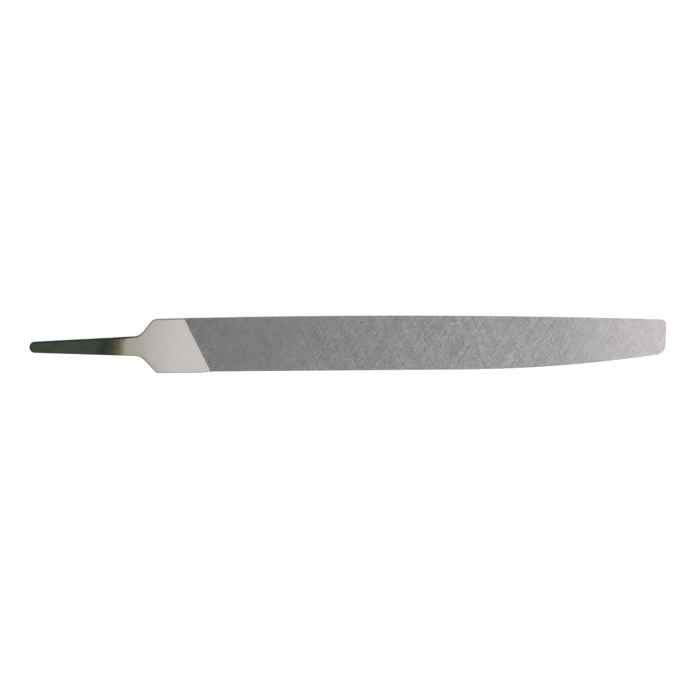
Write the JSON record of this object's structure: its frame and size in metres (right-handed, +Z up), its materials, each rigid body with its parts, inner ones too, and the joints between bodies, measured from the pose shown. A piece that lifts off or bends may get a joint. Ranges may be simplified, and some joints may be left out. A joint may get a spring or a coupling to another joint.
{
  "type": "flat file",
  "caption": "Flat metalworking file without a handle: a tapered tang, a bright heel and a long blade cut with teeth on both faces and both edges.",
  "frame": {"origin": "middle of the footprint of the whole file, on the surface that its lower face lies on", "axes": "+X along the file from the tang to the point, +Y across it to the left as seen from the tang, +Z up out of the upper face"},
  "size_m": [0.2993, 0.0263, 0.0063],
  "materials": {
    "blackened_steel": "blackened by heat treatment, satin, with a brown band at its root",
    "ground_steel": "bright, matte ground",
    "cut_steel": "bare steel cut with fine teeth, matte"
  },
  "bodies": {
    "root": {"tang": "blackened_steel", "heel": "ground_steel", "blade_core": "ground_steel", "upper_face_teeth": "cut_steel", "lower_face_teeth": "cut_steel", "left_edge_teeth": "cut_steel", "right_edge_teeth": "cut_steel"}
  },
  "joints": []
}
